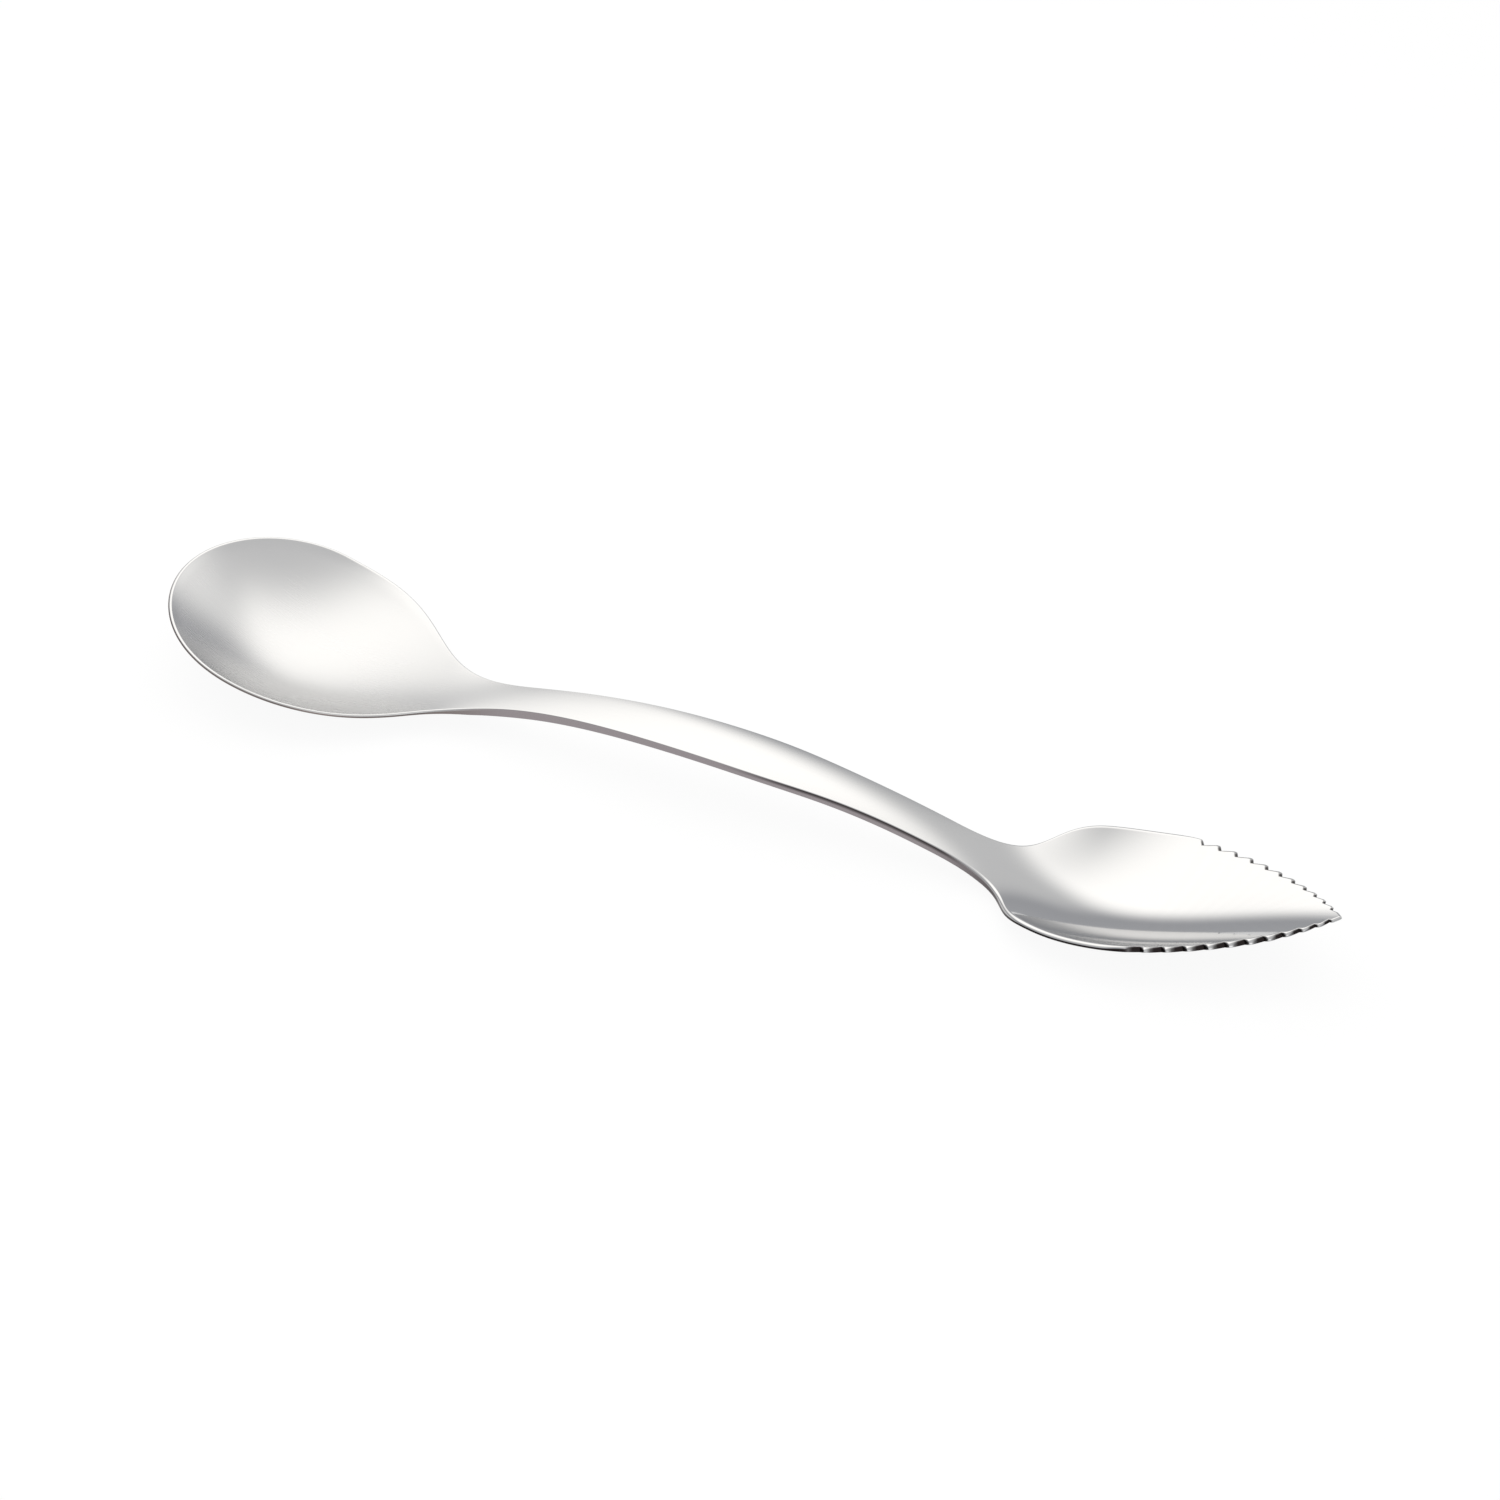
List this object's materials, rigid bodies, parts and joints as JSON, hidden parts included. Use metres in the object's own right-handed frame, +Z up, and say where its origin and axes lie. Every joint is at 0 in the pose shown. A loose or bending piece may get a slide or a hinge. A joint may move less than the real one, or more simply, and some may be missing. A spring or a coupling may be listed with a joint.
{
  "type": "double-ended scoop spoon",
  "caption": "Steel kitchen spoon with an oval bowl at one end, a pointed scoop with toothed edges at the other, and an arched handle between them, for scooping and cutting soft fruit.",
  "frame": {"origin": "centre of the bounding box at the level of the two bowls' rest flats", "axes": "+X along the spoon towards the toothed tip, +Z up, out of the bowls' hollow side"},
  "size_m": [0.2007, 0.0408, 0.0132],
  "materials": {
    "satin_steel": "satin",
    "handle_steel": "fine satin",
    "polished_steel": "polished"
  },
  "bodies": {
    "root": {"oval_bowl": "satin_steel", "handle": "handle_steel", "serrated_scoop": "polished_steel"}
  },
  "joints": []
}
